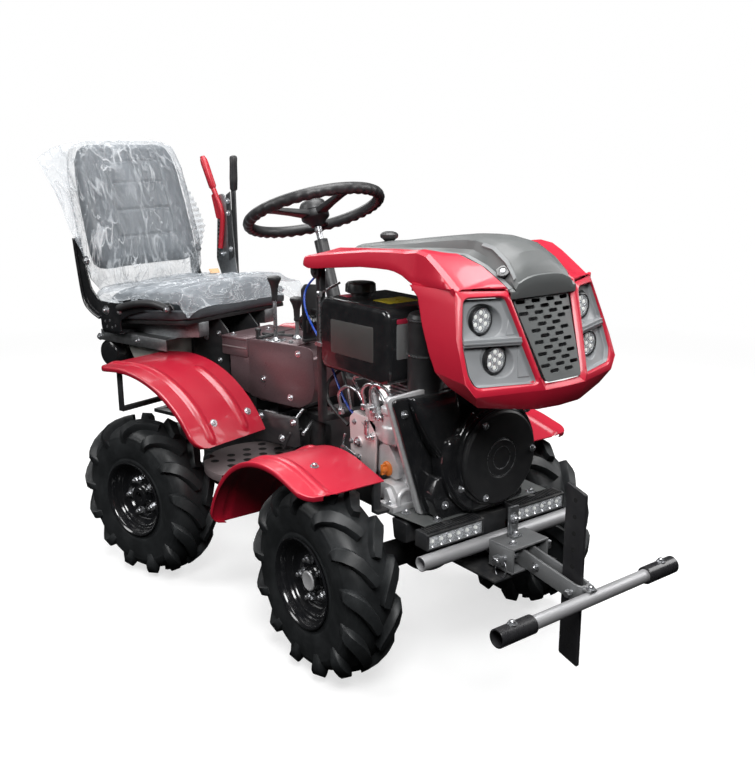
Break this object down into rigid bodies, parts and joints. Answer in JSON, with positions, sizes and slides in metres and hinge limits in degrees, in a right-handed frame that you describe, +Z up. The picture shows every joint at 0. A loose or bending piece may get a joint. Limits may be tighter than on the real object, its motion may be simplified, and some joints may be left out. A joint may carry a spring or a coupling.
{
  "type": "articulated compact tractor",
  "caption": "Compact articulated ride-on tractor with a red hood, air-cooled diesel, lugged tyres and a front drawbar.",
  "frame": {"origin": "on the ground at the bottom centre of the whole tractor's box, standing bent as it is stored", "axes": "+Z up; the front half faces -Y; +X is the front half's left-hand side; the rear half is turned 16.4 degrees about +Z at the pivot"},
  "size_m": [0.9668, 1.9271, 1.2537],
  "materials": {
    "red_plastic": "glossy crimson moulded plastic",
    "grey_plastic": "satin grey moulded plastic",
    "black_enamel": "gloss black enamel on steel",
    "wheel_enamel": "gloss black enamel on a pressed rim",
    "tyre_rubber": "new black tyre rubber",
    "black_plastic": "black moulded plastic",
    "cast_alloy": "rough cast alloy",
    "silencer_steel": "heat-proof black on steel",
    "zinc_steel": "zinc-plated steel",
    "grey_tube": "grey metallic coat on steel tube",
    "black_sleeve": "black powder coat on steel tube",
    "grey_coat": "grey metallic powder coat",
    "brown_coat": "brown-grey metallic powder coat",
    "hitch_coat": "black powder coat on thick plate",
    "lamp_glass": "clear lamp lens over bright reflectors",
    "cable_sheath": "blue plastic sheath over a steel cable",
    "pale_coat": "pale grey powder coat on sheet steel",
    "seat_vinyl": "dark grey vinyl"
  },
  "bodies": {
    "front_half": {"front_fenders": "red_plastic", "throttle_cable": "cable_sheath", "front_chassis": "black_enamel", "front_axle": "black_enamel", "blower_housing": "black_enamel", "fan_cover": "black_enamel", "fuel_tank": "black_enamel", "hood_stays": "black_enamel", "front_fender_stays": "black_enamel", "depth_bar": "black_enamel", "belly_plate": "black_enamel", "steering_column": "black_enamel", "engine_plate": "black_enamel", "tank_cap": "black_plastic", "air_cleaner": "black_plastic", "engine_block": "cast_alloy", "injection_pump": "cast_alloy", "muffler": "silencer_steel", "hitch_bracket": "zinc_steel", "hitch_pins": "zinc_steel", "drawbar": "zinc_steel", "cross_tube": "grey_tube", "bumper_tube": "grey_tube", "bar_sleeves": "black_sleeve", "light_bars": "lamp_glass"},
    "steering": {"steering_wheel": "black_plastic"},
    "hood": {"hood_shell": "red_plastic", "hood_top_panel": "grey_plastic", "front_mask": "red_plastic", "lamp_pods": "grey_plastic", "headlamps": "lamp_glass", "front_grille": "grey_plastic", "hood_knob": "black_plastic", "hood_lock": "black_plastic"},
    "rear_half": {"rear_chassis": "black_enamel", "rear_axle": "black_enamel", "transmission_cover": "brown_coat", "rear_fenders": "red_plastic", "rear_fender_stays": "black_enamel", "seat_pan": "black_enamel", "foot_plates": "grey_coat", "seat_mount": "zinc_steel", "seat_brackets": "black_enamel", "seat_cushion": "seat_vinyl", "seat_back": "seat_vinyl", "lift_levers": "black_plastic", "gear_levers": "black_plastic", "rear_hitch": "hitch_coat", "pedal_brackets": "black_enamel", "horn": "black_plastic", "under_seat_box": "pale_coat", "rear_reservoir": "black_enamel"},
    "front_wheel_right": {"front_tyre_right": "tyre_rubber", "front_rim_right": "wheel_enamel"},
    "front_wheel_left": {"front_tyre_left": "tyre_rubber", "front_rim_left": "wheel_enamel"},
    "rear_wheel_right": {"rear_tyre_right": "tyre_rubber", "rear_rim_right": "wheel_enamel"},
    "rear_wheel_left": {"rear_tyre_left": "tyre_rubber", "rear_rim_left": "wheel_enamel"}
  },
  "joints": [
    {"name": "articulation", "type": "hinge", "parent": "front_half", "child": "rear_half", "pos_m": [0.05841, 0.08044, 0.37], "axis": [0, 0, 1], "range_deg": [-44.4, 11.6]},
    {"name": "steering_turn", "type": "hinge", "parent": "front_half", "child": "steering", "pos_m": [0.05841, 0.10144, 1.062], "axis": [0, 0.3746, 0.9272], "range_deg": [-140, 533]},
    {"name": "hood_lift", "type": "hinge", "parent": "front_half", "child": "hood", "pos_m": [0.05841, -0.18156, 0.936], "axis": [-1, 0, 0], "range_deg": [0, 50]},
    {"name": "front_right_spin", "type": "hinge", "parent": "front_half", "child": "front_wheel_right", "pos_m": [-0.25959, -0.39756, 0.24], "axis": [1, 0, 0], "continuous": true},
    {"name": "front_left_spin", "type": "hinge", "parent": "front_half", "child": "front_wheel_left", "pos_m": [0.37641, -0.39756, 0.24], "axis": [1, 0, 0], "continuous": true},
    {"name": "rear_right_spin", "type": "hinge", "parent": "rear_half", "child": "rear_wheel_right", "pos_m": [-0.36044, 0.37726, 0.24], "axis": [0.9593, 0.2823, 0], "continuous": true},
    {"name": "rear_left_spin", "type": "hinge", "parent": "rear_half", "child": "rear_wheel_left", "pos_m": [0.24969, 0.55683, 0.24], "axis": [0.9593, 0.2823, 0], "continuous": true}
  ],
  "couplings": [
    {"joint": "steering_turn", "follows": "articulation", "ratio": -12}
  ]
}
